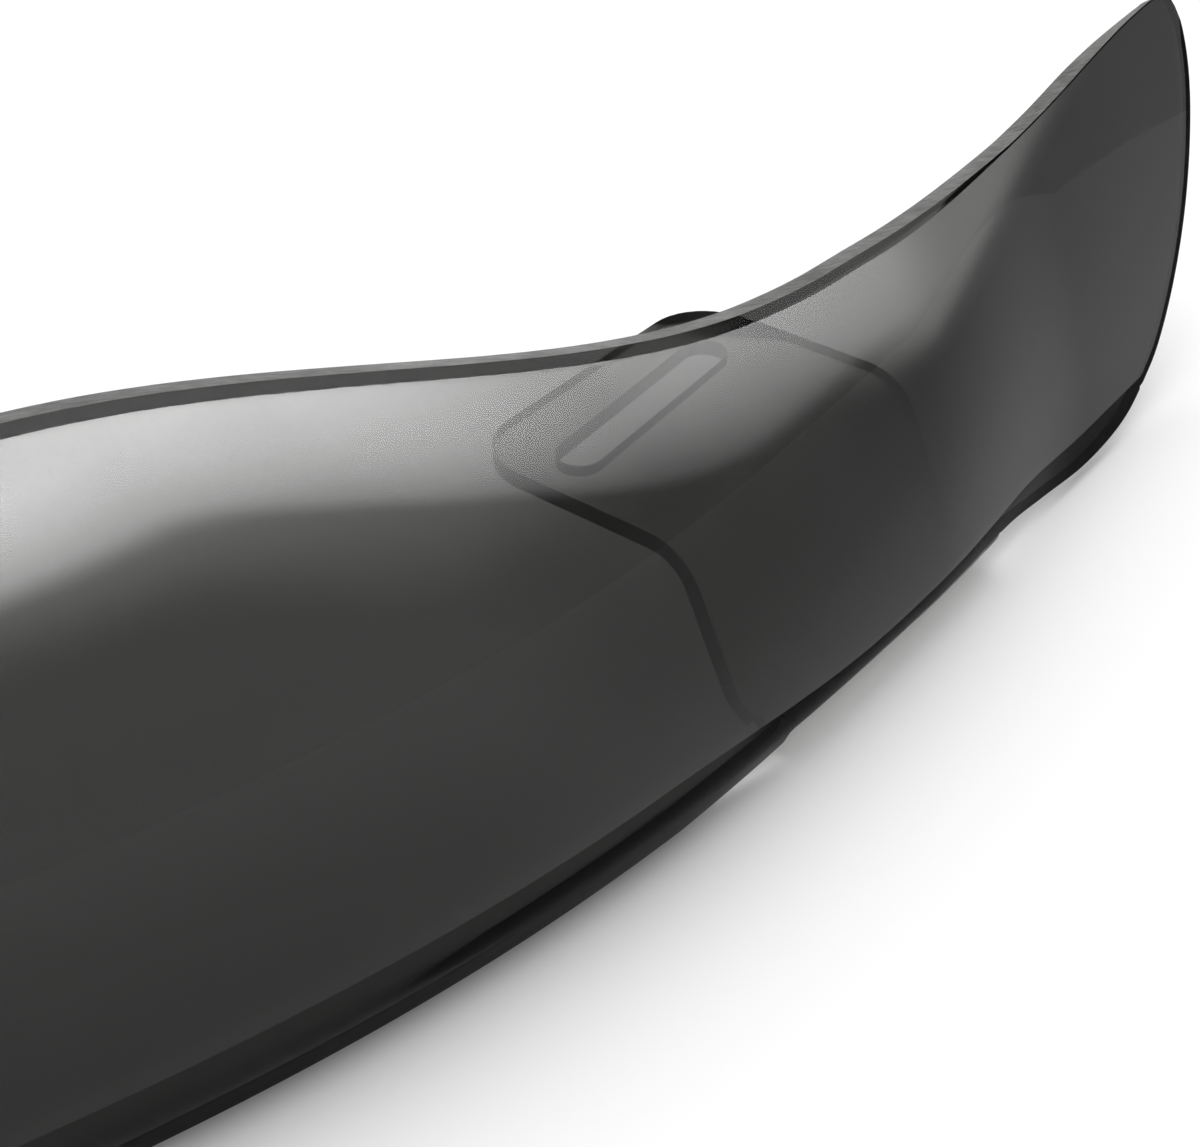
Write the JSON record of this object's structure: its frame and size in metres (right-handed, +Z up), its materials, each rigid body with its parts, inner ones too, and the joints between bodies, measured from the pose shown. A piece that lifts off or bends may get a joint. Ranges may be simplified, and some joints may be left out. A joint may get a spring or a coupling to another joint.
{
  "type": "hood deflector",
  "caption": "One-piece smoke-tinted acrylic hood deflector: a tall swept blade with rounded tips and folded-back, slotted mounting tabs.",
  "frame": {"origin": "middle of the part's outer box in plan, on the plane that the free lower edge stands on", "axes": "+X across the car towards the end that the picture shows, +Y to the rear, +Z up"},
  "size_m": [1.394, 0.1982, 0.0898],
  "materials": {
    "smoke_acrylic": "glossy dark smoke acrylic sheet with satin cut edges"
  },
  "bodies": {
    "root": {"deflector": "smoke_acrylic"}
  },
  "joints": []
}
